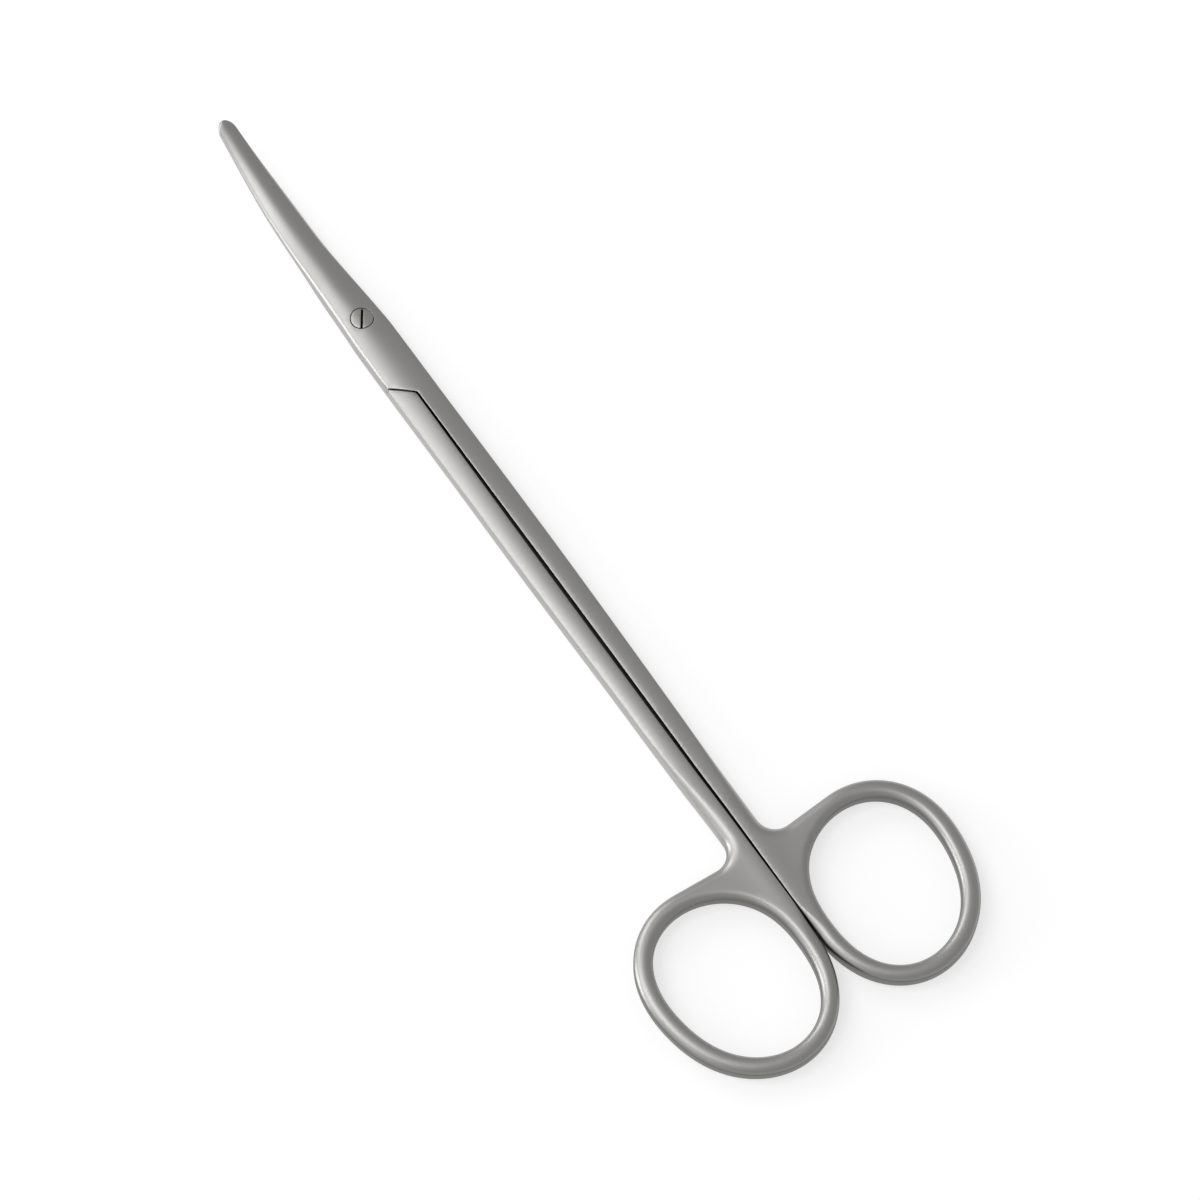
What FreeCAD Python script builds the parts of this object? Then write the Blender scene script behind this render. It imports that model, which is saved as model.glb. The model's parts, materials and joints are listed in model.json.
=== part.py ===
import FreeCAD, Part
import math
import os

from FreeCAD import Placement, Rotation, Vector

# Curved dissecting scissors: two forged halves lapped at a countersunk screw.
# Lengths are millimetres. While it is modelled, the part has the pivot at the
# origin, the tips towards +Y, the closed blades' parting face at z = 0 and the
# tips curving up. Each finished piece is then moved into the row's own frame.

doc = FreeCAD.newDocument("dissecting_scissors")
sheet = doc.addObject("Spreadsheet::Sheet", "Sizes")

sizes = [
    # overall
    ("blade_length", 41.0),
    ("handle_length", 139.0),
    # joint
    ("joint_half_width", 3.51),
    ("joint_half_thickness", 2.0),
    ("crown_radius", 10.8),
    ("shoulder_back", 15.9),
    ("shoulder_front", 12.57),
    ("shoulder_clearance", 0.06),
    ("lap_clearance", 0.03),
    # blades
    ("bend_start", 13.0),
    ("bend_radius", 73.0),
    ("tip_half_width", 1.38),
    ("tip_half_thickness", 0.75),
    ("blade_belly", 0.24),
    ("flank_fall", 0.25),
    ("cutting_bevel", 0.4),
    ("edge_height", 0.35),
    ("hollow_depth", 0.12),
    ("hollow_land", 0.55),
    # shanks
    ("shank_half_width", 3.5),
    ("shank_rear_half_width", 3.25),
    ("shank_half_thickness", 1.96),
    ("shank_crown_radius", 8.2),
    ("shank_crest_offset", 1.0),
    ("edge_break", 0.12),
    ("gap_at_joint", 0.15),
    ("gap_at_middle", 0.25),
    ("gap_at_rings", 0.05),
    # finger rings, webs and crotches
    ("ring_opening_length", 26.55),
    ("ring_opening_width", 21.15),
    ("ring_band", 2.85),
    ("ring_half_thickness", 1.9),
    ("ring_wall", 1.2),
    ("ring_ridge", 0.24),
    ("ring_ridge_outward", 0.08),
    ("ring_offset", 13.5),
    ("ring_lean", 12.2),
    ("web_half_thickness", 2.0),
    ("web_length", 19.5),
    ("crotch_radius", 3.2),
    ("crotch_bite", 0.05),
    ("crotch_half_thickness", 1.84),
    # screw
    ("head_diameter", 3.6),
    ("head_rim", 0.3),
    ("screw_diameter", 1.9),
    ("screw_clearance", 0.03),
    ("slot_width", 0.55),
    ("slot_depth", 0.5),
]
for row, (alias, value) in enumerate(sizes, start=1):
    sheet.set("A%d" % row, alias)
    sheet.set("B%d" % row, str(value))
    sheet.setAlias("B%d" % row, alias)
doc.recompute()


def size(alias):
    return float(sheet.get(alias))


# Sides of the part: the upper half has its ring at +X and its lap above the
# parting face, and the lower half is the same turned half a turn about Y.
UPPER = 1
LOWER = -1

REACH = 10.0              # how far cutting tools reach past the part
BULGE = 0.18              # how round a worked corner is, as a share of its chord
CORNER_FACETS = 2         # flats that make up a worked corner
SLOT_TURN = -34.0         # degrees that the slot stands turned from the long axis

# Where shapes change, as shares of the blade's or the handle's length.
BLADE_START = -0.15
TAPER_START = 0.2
BEVEL_START = 0.12
BEVEL_REACH = 0.3
SHANK_WIDE_BY = 0.4
SHANK_NARROW_FROM = 0.36
SHANK_NARROW_OVER = 0.3
SHANK_THIN_OVER = 0.12
WEB_START = 0.66
GRIND_START = -12.0       # millimetres from the pivot where the blades' steeper faces begin
GRIND_LENGTH = 22.0
BELLY_LEAN = 1.67         # above 1 the blade's widest swell sits nearer its tip
TAPER_LEAN = 1.1          # above 1 the blade keeps its thickness a little longer
REAR_SECTIONS = (-2.0, 0.0, 4.0, 9.0)     # millimetres in front of the crotch
SHANK_SECTIONS = (-0.56, -0.4, -0.24)
JOINT_SECTIONS = (-1.1, -0.55, -0.15)
BLADE_SECTIONS = (0.07, 0.19, 0.3, 0.42, 0.56, 0.7, 0.84, 0.95, 1.04)
TIP_ROUND_EXTRA = 0.05    # the tip's end arc is this much wider than the blade there
OVERLAP = 1.0             # how far neighbouring solids reach into each other
CROTCH_OVERSWEEP = 2.0    # degrees
TOOL_DEPTH = 0.6          # how far a grinding or boring tool's form passes the face
SEARCH_STEPS = 60         # halvings, which end far below a micrometre
CROWNS_PART_OVER = 40.0   # length over which the shanks' own crowns grow behind the joint
FLAT_WEB_DROP = 0.02
WEB_LAST_TURN = 0.56      # of half a turn, where the web ends on the ring's inner side
HOLLOW_SHARES = (0.26, 0.4, 0.54, 0.68, 0.82, 0.93)


def planeOf(body, role):
    for feature in body.Origin.OriginFeatures:
        if feature.Role == role:
            return feature
    raise RuntimeError("no plane " + role)


def sketchOn(body, name, role, geometry, base=Vector(0, 0, 0), turn=Rotation()):
    """A sketch on one of the body's own planes, moved within that plane's axes."""
    sketch = body.newObject("Sketcher::SketchObject", name)
    sketch.AttachmentSupport = [(planeOf(body, role), "")]
    sketch.MapMode = "FlatFace"
    sketch.AttachmentOffset = Placement(base, turn)
    sketch.addGeometry(geometry, False)
    return sketch


def newBody(name):
    return doc.addObject("PartDesign::Body", name)


def flat(x, y):
    return Vector(x, y, 0)


def closedLines(points):
    """Straight sides round a list of corners, given as pairs."""
    corners = [flat(*point) for point in points]
    return [Part.LineSegment(a, b) for a, b in zip(corners, corners[1:] + corners[:1])]


def workedCorner(start, end, away):
    """Short flats from start to end along an arc that swells away from a point inside."""
    middle = (start + end) * 0.5
    across = flat(end.y - start.y, start.x - end.x)
    if across.dot(middle - away) < 0:
        across = across * -1
    arc = Part.Arc(start, middle + across * BULGE, end)
    curve = arc.toShape()
    points = curve.discretize(CORNER_FACETS + 1)
    points[0], points[-1] = start, end
    return [Part.LineSegment(first, second) for first, second in zip(points, points[1:])]


# The parting face: flat round the screw, then curving up towards the tips as a
# surface turned about the pivot, so that the blades can slide over each other.
def partingRise(distance):
    past = max(0.0, distance - size("bend_start"))
    radius = size("bend_radius")
    return radius - math.sqrt(radius ** 2 - past ** 2)


def bladeShare(y):
    """0 where the blade leaves the joint and 1 at its tip."""
    start = BLADE_START * size("blade_length")
    return min(1.0, max(0.0, (y - start) / (size("blade_length") - start)))


def smooth(share):
    share = min(1.0, max(0.0, share))
    return share * share * (3 - 2 * share)


def halfWidth(y):
    share = bladeShare(y)
    if share > 0:
        straight = size("joint_half_width") * (1 - share) + size("tip_half_width") * share
        return straight + size("blade_belly") * math.sin(math.pi * share ** BELLY_LEAN) ** 2
    front = size("joint_half_width") + (size("shank_half_width") - size("joint_half_width")) \
        * smooth(-y / (SHANK_WIDE_BY * size("handle_length")))
    back = smooth((-y / size("handle_length") - SHANK_NARROW_FROM) / SHANK_NARROW_OVER)
    return front + (size("shank_rear_half_width") - size("shank_half_width")) * back


def webShare(y, side):
    """0 along the shanks and 1 where web and rings begin."""
    start = -size("handle_length") * WEB_START
    return smooth((start - y) / (start - crotchCentre(side).y))


def halfThickness(y, side):
    root = TAPER_START * size("blade_length")
    if y > root:
        share = (y - root) / (size("blade_length") - root)
        return size("joint_half_thickness") \
            - (size("joint_half_thickness") - size("tip_half_thickness")) * share ** TAPER_LEAN
    back = smooth((-y - size("shoulder_back")) / (SHANK_THIN_OVER * size("handle_length")))
    shank = size("joint_half_thickness") \
        + (size("shank_half_thickness") - size("joint_half_thickness")) * back
    atRings = size("web_half_thickness") - 3 * FLAT_WEB_DROP
    return shank + (atRings - shank) * webShare(y, side)


def arcDrop(radius, distance):
    """How far an arc of this radius has fallen at a distance from its crest."""
    return radius - math.sqrt(radius ** 2 - distance ** 2)


# Finger ring: an ellipse along the ridge of its band, leaning outwards in front.
def ridgeRadii():
    band = size("ring_band")
    return size("ring_opening_length") / 2 + band / 2, size("ring_opening_width") / 2 + band / 2


def ringCentre(side):
    major, minor = ridgeRadii()
    lean = math.radians(size("ring_lean"))
    outer = size("ring_band") / 2
    reach = math.hypot((major + outer) * math.cos(lean), (minor + outer) * math.sin(lean))
    return flat(side * size("ring_offset"), reach - size("handle_length"))


def ringDirection(side):
    lean = math.radians(size("ring_lean"))
    return flat(side * math.sin(lean), math.cos(lean))


def ridgePoint(side, turn):
    """A point of the ring's ridge; turn runs from the front end over the inner side."""
    major, minor = ridgeRadii()
    along = ringDirection(side)
    inward = flat(-along.y * side, along.x * side)
    return ringCentre(side) + along * (major * math.cos(turn)) + inward * (minor * math.sin(turn))


def nearestTurn(side, point):
    """The turn on the front inner quarter of the ridge that is nearest to a point."""
    low, high = 0.0, math.pi / 2
    for step in range(SEARCH_STEPS):
        first = low + (high - low) / 3
        second = high - (high - low) / 3
        if ridgePoint(side, first).distanceToPoint(point) < ridgePoint(side, second).distanceToPoint(point):
            high = second
        else:
            low = first
    return (low + high) / 2


def crotchCentre(side):
    """Centre of the round corner between the shank's outer side and the ring.

    The corner bites a little into both, so that its faces cross theirs."""
    reach = size("crotch_radius") + size("ring_band") / 2 - size("crotch_bite")
    across = side * (size("shank_rear_half_width") + size("crotch_radius") - size("crotch_bite"))
    low = ringCentre(side).y
    high = 0.0
    for step in range(SEARCH_STEPS):
        middle = (low + high) / 2
        point = flat(across, middle)
        inside = point.distanceToPoint(ringCentre(side)) < ridgeRadii()[1]
        if inside or ridgePoint(side, nearestTurn(side, point)).distanceToPoint(point) < reach:
            low = middle
        else:
            high = middle
    return flat(across, (low + high) / 2)


def slopeWidth():
    return (size("ring_band") - size("ring_ridge")) / 2


def slopeHeight():
    return size("ring_half_thickness") - size("ring_wall") / 2


# The closed scissors as one long form, from which each half is cut.
def crossSection(y, side):
    """The edges of the section at y, in x and z, for the half on this side.

    The outer face is a crown, on the shanks one crown for each half. The cutting
    side of the blade has a bevel, and towards the rings the crown flattens and the
    corners grow round."""
    width = halfWidth(y)
    thick = halfThickness(y, side)
    rise = partingRise(max(0.0, y))
    rear = webShare(y, side)
    ground = smooth((y - GRIND_START) / GRIND_LENGTH)
    apart = smooth((-size("shoulder_back") - y) / CROWNS_PART_OVER)
    crest = side * size("shank_crest_offset") * apart
    radius = size("crown_radius") + (size("shank_crown_radius") - size("crown_radius")) * apart

    def faceDrop(x):
        crowned = arcDrop(radius, x - crest)
        flanks = size("flank_fall") * x ** 2 / width
        return (crowned * (1 - ground) + flanks * ground) * (1 - rear) + FLAT_WEB_DROP * rear * (x / width) ** 2

    blade = smooth((y - BEVEL_START * size("blade_length")) / (BEVEL_REACH * size("blade_length")))
    cornerWide = size("edge_break") * (1 - rear) + slopeWidth() * rear
    cornerHigh = size("edge_break") * (1 - rear) + slopeHeight() * rear
    bevelWide = cornerWide * (1 - blade) + size("cutting_bevel") * blade
    bevelHigh = cornerHigh * (1 - blade) + (thick - faceDrop(width) - size("edge_height")) * blade

    def corners(toSide, up, wide, high):
        """Two ends of a corner: on the crowned face, then on the side wall."""
        reach = toSide * (width - wide)
        shoulder = thick - faceDrop(reach)
        return (flat(reach, rise + up * shoulder),
                flat(toSide * width, rise + up * (shoulder - high)))

    a1, a2 = corners(side, side, bevelWide, bevelHigh)
    b1, b2 = corners(side, -side, cornerWide, cornerHigh)
    c1, c2 = corners(-side, -side, cornerWide, cornerHigh)
    d1, d2 = corners(-side, side, cornerWide, cornerHigh)
    ridge = flat(crest, rise + side * (thick - faceDrop(crest)))
    keel = flat(crest, rise - side * (thick - faceDrop(crest)))
    inside = flat(0, rise)
    return (workedCorner(a1, a2, inside)
            + [Part.LineSegment(a2, b2)]
            + workedCorner(b2, b1, inside)
            + [Part.Arc(b1, keel, c1)]
            + workedCorner(c1, c2, inside)
            + [Part.LineSegment(c2, d2)]
            + workedCorner(d2, d1, inside)
            + [Part.Arc(d1, ridge, a1)])


def stationList(side):
    """Places of the sections: the size each one goes with, its share, and its start."""
    behind = size("handle_length") + crotchCentre(side).y
    rear = [("handle_length", -1.0, behind + ahead) for ahead in REAR_SECTIONS]
    shank = [("handle_length", share, 0.0) for share in SHANK_SECTIONS]
    joint = [("shoulder_back", share, 0.0) for share in JOINT_SECTIONS]
    blade = [("blade_length", share, 0.0) for share in BLADE_SECTIONS]
    return rear + shank + joint + blade


def makeForm(name, side):
    """The long closed form of shanks, joint and blades, lofted through its sections."""
    body = newBody(name)
    sketches = []
    for index, (alias, share, start) in enumerate(stationList(side)):
        y = size(alias) * share + start
        sketch = sketchOn(body, "%s_section_%d" % (name, index), "XZ_Plane", crossSection(y, side))
        sketch.setExpression("AttachmentOffset.Base.z", "-(Sizes.%s * %s + %.6f)" % (alias, share, start))
        sketches.append(sketch)
    loft = body.newObject("PartDesign::AdditiveLoft", name + "_loft")
    loft.Profile = sketches[0]
    loft.Sections = sketches[1:]
    return body


def makeTipTrim(name):
    """Everything behind the round end of the blades, seen from above."""
    body = newBody(name)
    radius = size("tip_half_width") + TIP_ROUND_EXTRA
    shoulder = size("blade_length") - radius
    wide = 4 * REACH
    rear = -size("handle_length") - REACH
    outline = [
        Part.LineSegment(flat(-wide, rear), flat(wide, rear)),
        Part.LineSegment(flat(wide, rear), flat(wide, shoulder)),
        Part.LineSegment(flat(wide, shoulder), flat(radius, shoulder)),
        Part.Arc(flat(radius, shoulder), flat(0, size("blade_length")), flat(-radius, shoulder)),
        Part.LineSegment(flat(-radius, shoulder), flat(-wide, shoulder)),
        Part.LineSegment(flat(-wide, shoulder), flat(-wide, rear)),
    ]
    padSketch(body, name, outline)
    return body


def padSketch(body, name, outline, half=None):
    """A prism of an outline on the XY plane, as far down as up."""
    sketch = sketchOn(body, name + "_outline", "XY_Plane", outline)
    pad = body.newObject("PartDesign::Pad", name + "_pad")
    pad.Profile = sketch
    pad.Midplane = True
    if half:
        pad.setExpression("Length", "Sizes.%s * 2" % half)
    else:
        pad.Length = 4 * REACH
    return pad


def makeRing(name, side):
    """The finger ring: its band's section carried round the ellipse of its ridge."""
    body = newBody(name)
    major, minor = ridgeRadii()
    centre = ringCentre(side)
    along = ringDirection(side)
    start = centre + along * major
    spine = sketchOn(body, name + "_ridge", "XY_Plane",
                     [Part.Ellipse(start, centre + flat(-along.y, along.x) * minor, centre)])
    band = size("ring_band") / 2
    top = size("ring_half_thickness")
    outward = size("ring_ridge_outward")
    ridge = size("ring_ridge") / 2
    wall = size("ring_wall") / 2
    inside = flat(0, 0)
    outline = (workedCorner(flat(band, wall), flat(outward + ridge, top), inside)
               + [Part.LineSegment(flat(outward + ridge, top), flat(outward - ridge, top))]
               + workedCorner(flat(outward - ridge, top), flat(-band, wall), inside)
               + [Part.LineSegment(flat(-band, wall), flat(-band, -wall))]
               + workedCorner(flat(-band, -wall), flat(outward - ridge, -top), inside)
               + [Part.LineSegment(flat(outward - ridge, -top), flat(outward + ridge, -top))]
               + workedCorner(flat(outward + ridge, -top), flat(band, -wall), inside)
               + [Part.LineSegment(flat(band, -wall), flat(band, wall))])
    angle = math.degrees(math.atan2(along.y, along.x))
    section = sketchOn(body, name + "_band", "XZ_Plane", outline,
                       Vector(start.x, 0, -start.y), Rotation(Vector(0, 1, 0), angle))
    pipe = body.newObject("PartDesign::AdditivePipe", name + "_pipe")
    pipe.Profile = section
    pipe.Spine = (spine, ["Edge1"])
    return body


def makeCrotch(name, side):
    """The rounded outer edge between shank and ring, turned about the crotch's centre."""
    body = newBody(name)
    centre = crotchCentre(side)
    contact = ridgePoint(side, nearestTurn(side, centre)) - centre
    toShank = flat(-side, 0)
    sweep = math.acos(toShank.dot(contact) / contact.Length)
    halfway = math.atan2(toShank.y, toShank.x) + side * sweep / 2
    radius = size("crotch_radius")
    top = size("crotch_half_thickness")
    wall = size("ring_wall") / 2
    ridge = radius + slopeWidth()
    back = radius + size("ring_band") / 2 + OVERLAP
    inside = flat(back, 0)
    outline = ([Part.LineSegment(flat(radius, -wall), flat(radius, wall))]
               + workedCorner(flat(radius, wall), flat(ridge, top), inside)
               + [Part.LineSegment(flat(ridge, top), flat(back, top))]
               + [Part.LineSegment(flat(back, top), flat(back, -top))]
               + [Part.LineSegment(flat(back, -top), flat(ridge, -top))]
               + workedCorner(flat(ridge, -top), flat(radius, -wall), inside))
    section = sketchOn(body, name + "_edge", "XZ_Plane", outline,
                       Vector(centre.x, 0, -centre.y), Rotation(Vector(0, 1, 0), math.degrees(halfway)))
    turn = body.newObject("PartDesign::Revolution", name + "_turn")
    turn.Profile = section
    turn.ReferenceAxis = (section, ["V_Axis"])
    turn.Midplane = True
    turn.Angle = math.degrees(sweep) + CROTCH_OVERSWEEP
    return body


def makeWeb(name, side):
    """The flat web that fills the corner between shank, crotch and ring."""
    body = newBody(name)
    centre = crotchCentre(side)
    reach = size("crotch_radius") + size("ring_band") / 2
    low, high = nearestTurn(side, centre), math.pi / 2
    for step in range(SEARCH_STEPS):
        middle = (low + high) / 2
        if ridgePoint(side, middle).distanceToPoint(centre) < reach:
            low = middle
        else:
            high = middle
    contact = ridgePoint(side, high)
    front = size("ring_opening_length") / 2 + size("web_length") / 2
    direction = contact - centre
    start = flat(-side, 0)
    middle = (start + direction * (1 / direction.Length)).normalize()
    onShank = flat(centre.x - side * reach, centre.y)
    last = math.pi * WEB_LAST_TURN
    major, minor = ridgeRadii()
    along = ringDirection(side)
    ellipseCentre = ringCentre(side)
    sidePoint = ellipseCentre + flat(-along.y, along.x) * minor
    ellipse = Part.Ellipse(ellipseCentre + along * major, sidePoint, ellipseCentre)
    turnA = ellipse.parameter(contact)
    turnB = ellipse.parameter(ridgePoint(side, last))
    ridgeArc = Part.ArcOfEllipse(ellipse, min(turnA, turnB), max(turnA, turnB))
    rear = ridgePoint(side, last)
    frontY = ellipseCentre.y + front
    axisX = -side * size("gap_at_middle")
    outline = [
        Part.LineSegment(flat(axisX, frontY), flat(onShank.x, frontY)),
        Part.LineSegment(flat(onShank.x, frontY), onShank),
        Part.Arc(onShank, centre + middle * reach, contact),
        ridgeArc,
        Part.LineSegment(rear, flat(axisX, rear.y)),
        Part.LineSegment(flat(axisX, rear.y), flat(axisX, frontY)),
    ]
    padSketch(body, name, outline, "web_half_thickness")
    return body


def shoulderLine(side):
    """The diagonal shoulder seen from above: its corner on the axis and its slope."""
    corner = flat(0, -size("shoulder_back"))
    end = flat(-side * size("joint_half_width"), -size("shoulder_front"))
    along = (end - corner).normalize()
    forward = flat(-along.y, along.x)
    if forward.y < 0:
        forward = forward * -1
    return corner, along, forward


def makeOtherSide(name, side):
    """What belongs to the other half behind the shoulder and across the gap."""
    body = newBody(name)
    corner, along, forward = shoulderLine(side)
    corner = corner + forward * size("shoulder_clearance")
    far = corner + along * (2 * REACH)
    gap = side * size("gap_at_joint")
    share = (gap - corner.x) / along.x
    turn = corner + along * share
    contactY = ringCentre(side).y
    middleY = (turn.y + contactY) / 2
    end = flat(side * size("gap_at_rings"), contactY)
    rear = -size("handle_length") - REACH
    wide = -side * 5 * REACH
    outline = [
        Part.LineSegment(far, turn),
        Part.Arc(turn, flat(side * size("gap_at_middle"), middleY), end),
        Part.LineSegment(end, flat(end.x, rear)),
        Part.LineSegment(flat(end.x, rear), flat(wide, rear)),
        Part.LineSegment(flat(wide, rear), flat(wide, far.y)),
        Part.LineSegment(flat(wide, far.y), far),
    ]
    padSketch(body, name, outline)
    return body


def makeLapZone(name, side):
    """Where the other half's lap and blade lie, in front of this half's own shoulder."""
    body = newBody(name)
    corner, along, forward = shoulderLine(-side)
    corner = corner - forward * size("shoulder_clearance")
    near = corner - along * (2 * OVERLAP)
    far = corner + along * (2 * REACH)
    wide = side * 2 * REACH
    ahead = size("blade_length") + REACH
    outline = closedLines([(near.x, near.y), (far.x, far.y), (far.x, ahead), (-wide, ahead), (-wide, near.y)])
    padSketch(body, name, outline)
    return body


def makeParting(name, side):
    """All that lies beyond the parting face, turned about the pivot."""
    body = newBody(name)
    clearance = side * size("lap_clearance")
    start = size("bend_start")
    end = size("blade_length") + REACH / 2
    half = (start + end) / 2
    beyond = -side * REACH * 2
    outline = [
        Part.LineSegment(flat(0, clearance), flat(start, clearance)),
        Part.Arc(flat(start, clearance), flat(half, partingRise(half) + clearance),
                 flat(end, partingRise(end) + clearance)),
        Part.LineSegment(flat(end, partingRise(end) + clearance), flat(end, beyond)),
        Part.LineSegment(flat(end, beyond), flat(0, beyond)),
        Part.LineSegment(flat(0, beyond), flat(0, clearance)),
    ]
    section = sketchOn(body, name + "_profile", "XZ_Plane", outline)
    turn = body.newObject("PartDesign::Revolution", name + "_turn")
    turn.Profile = section
    turn.ReferenceAxis = (section, ["V_Axis"])
    turn.Angle = 360
    return body


def makeHollow(name, side):
    """The hollow ground into the blade's inner face between its two lands."""
    body = newBody(name)
    sketches = []
    for index, share in enumerate(HOLLOW_SHARES):
        y = size("blade_length") * share
        wide = halfWidth(y) - size("hollow_land")
        face = partingRise(y) + side * size("lap_clearance")
        under = face - side * TOOL_DEPTH
        outline = [
            Part.Arc(flat(-wide, face), flat(0, face + side * size("hollow_depth")), flat(wide, face)),
            Part.LineSegment(flat(wide, face), flat(wide, under)),
            Part.LineSegment(flat(wide, under), flat(-wide, under)),
            Part.LineSegment(flat(-wide, under), flat(-wide, face)),
        ]
        sketch = sketchOn(body, "%s_section_%d" % (name, index), "XZ_Plane", outline)
        sketch.setExpression("AttachmentOffset.Base.z", "-(Sizes.blade_length * %s)" % share)
        sketches.append(sketch)
    loft = body.newObject("PartDesign::AdditiveLoft", name + "_loft")
    loft.Profile = sketches[0]
    loft.Sections = sketches[1:]
    return body


def makeTurned(name, grow):
    """The screw's form turned about the pivot, or the seat that clears it by grow."""
    body = newBody(name)
    head = size("head_diameter") / 2 + grow
    stem = size("screw_diameter") / 2 + grow
    top = size("joint_half_thickness") + TOOL_DEPTH
    rim = size("joint_half_thickness") - size("head_rim")
    bottom = -size("joint_half_thickness") - TOOL_DEPTH
    outline = closedLines([(0, bottom), (stem, bottom), (stem, rim - (head - stem)), (head, rim), (head, top), (0, top)])
    section = sketchOn(body, name + "_profile", "XZ_Plane", outline)
    turn = body.newObject("PartDesign::Revolution", name + "_turn")
    turn.Profile = section
    turn.ReferenceAxis = (section, ["V_Axis"])
    turn.Angle = 360
    return body


def makeSlot(name):
    """The driver slot across the screw head."""
    body = newBody(name)
    wide = size("slot_width") / 2
    floor = size("joint_half_thickness") - size("slot_depth")
    outline = closedLines([(-wide, floor), (wide, floor), (wide, floor + REACH), (-wide, floor + REACH)])
    section = sketchOn(body, name + "_outline", "XZ_Plane", outline)
    pad = body.newObject("PartDesign::Pad", name + "_pad")
    pad.Profile = section
    pad.Midplane = True
    pad.setExpression("Length", "Sizes.head_diameter * 2")
    body.Placement = Placement(Vector(0, 0, 0), Rotation(Vector(0, 0, 1), SLOT_TURN))
    return body


def cut(name, base, tool):
    result = doc.addObject("Part::Cut", name)
    result.Base = base
    result.Tool = tool
    result.Refine = False
    return result


def common(name, shapes):
    result = doc.addObject("Part::MultiCommon", name)
    result.Shapes = shapes
    result.Refine = False
    return result


def fuse(name, shapes):
    result = doc.addObject("Part::MultiFuse", name)
    result.Shapes = shapes
    result.Refine = False
    return result


def makeHalf(label, side, form, seat):
    """One forged half: the long form cut to its side, with its web and ring."""
    trimmed = common(label + "_trimmed", [form, makeTipTrim(label + "_tip")])
    handle = fuse(label + "_handle", [
        trimmed,
        makeWeb(label + "_web", side),
        makeCrotch(label + "_crotch", side),
        makeRing(label + "_ring", side),
    ])
    own = cut(label + "_own", handle, makeOtherSide(label + "_other_side", side))
    beyond = common(label + "_beyond", [makeParting(label + "_parting", side), makeLapZone(label + "_lap_zone", side)])
    lapped = cut(label + "_lapped", own, beyond)
    hollowed = cut(label + "_hollowed", lapped, makeHollow(label + "_hollow", side))
    half = cut(label, hollowed, seat)
    half.Label = label
    return half


upperForm = makeForm("upper_form", UPPER)
lowerForm = makeForm("lower_form", LOWER)
screwForm = makeTurned("screw_form", 0.0)
screwSeat = makeTurned("screw_seat", size("screw_clearance"))
threadHole = makeTurned("thread_hole", 0.0)

upperHalf = makeHalf("upper_half", UPPER, upperForm, screwSeat)
lowerHalf = makeHalf("lower_half", LOWER, lowerForm, threadHole)
flushScrew = common("flush_screw", [screwForm, upperForm])
pivotScrew = cut("pivot_screw", flushScrew, makeSlot("screw_slot"))
pivotScrew.Label = "pivot_screw"

# Into the row's frame: the middle of the length at the origin, lying on z = 0.
for piece in (upperHalf, lowerHalf, pivotScrew):
    piece.setExpression("Placement.Base.y", "(Sizes.handle_length - Sizes.blade_length) / 2")
    piece.setExpression("Placement.Base.z", "Sizes.joint_half_thickness")
doc.recompute()

for item in doc.Objects:
    if "Invalid" in item.State or "Error" in item.State:
        raise RuntimeError("%s did not build" % item.Name)
pieces = (upperHalf, lowerHalf, pivotScrew)
for piece in pieces:
    if piece.Shape.isNull() or not piece.Shape.isValid():
        raise RuntimeError("%s has no valid shape" % piece.Label)
    if len(piece.Shape.Solids) != 1:
        raise RuntimeError("%s has %d solids" % (piece.Label, len(piece.Shape.Solids)))

os.makedirs("parts", exist_ok=True)
for piece in pieces:
    piece.Shape.exportStep("parts/%s.step" % piece.Label)
    box = piece.Shape.BoundBox
    print("%s: %.2f mm3, x %.2f to %.2f, y %.2f to %.2f, z %.2f to %.2f" % (
        piece.Label, piece.Shape.Volume, box.XMin, box.XMax, box.YMin, box.YMax, box.ZMin, box.ZMax))
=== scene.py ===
import bpy
import json
import math
import numpy as np
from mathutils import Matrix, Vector
from mathutils.geometry import delaunay_2d_cdt
from mathutils.kdtree import KDTree


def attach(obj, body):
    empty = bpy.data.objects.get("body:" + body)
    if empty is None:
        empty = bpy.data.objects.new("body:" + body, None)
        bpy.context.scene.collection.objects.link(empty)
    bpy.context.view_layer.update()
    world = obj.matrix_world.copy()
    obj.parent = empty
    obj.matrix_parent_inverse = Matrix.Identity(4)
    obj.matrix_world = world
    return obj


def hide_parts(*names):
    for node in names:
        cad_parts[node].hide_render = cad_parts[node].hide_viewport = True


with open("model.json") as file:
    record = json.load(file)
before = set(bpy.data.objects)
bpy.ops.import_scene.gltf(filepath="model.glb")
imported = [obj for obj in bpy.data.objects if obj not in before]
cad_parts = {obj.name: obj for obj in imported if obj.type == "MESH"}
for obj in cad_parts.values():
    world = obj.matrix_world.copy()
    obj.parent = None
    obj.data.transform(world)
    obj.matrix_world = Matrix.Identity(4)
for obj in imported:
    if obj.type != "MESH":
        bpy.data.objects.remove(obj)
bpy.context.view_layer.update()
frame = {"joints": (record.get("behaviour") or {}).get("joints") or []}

# Curved dissecting scissors lying closed on a pale table.
# Shapes are worked out in millimetres from the pivot: x across, y towards the tips,
# z up from the parting face. Each half is shaped with its outer face up, and the lower
# half is then turned half a turn about y, which is how the two forgings match.

pivot = Vector(frame["joints"][0]["pos_m"])
mm = 0.001
upperSide = 1
lowerSide = -1

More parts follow.
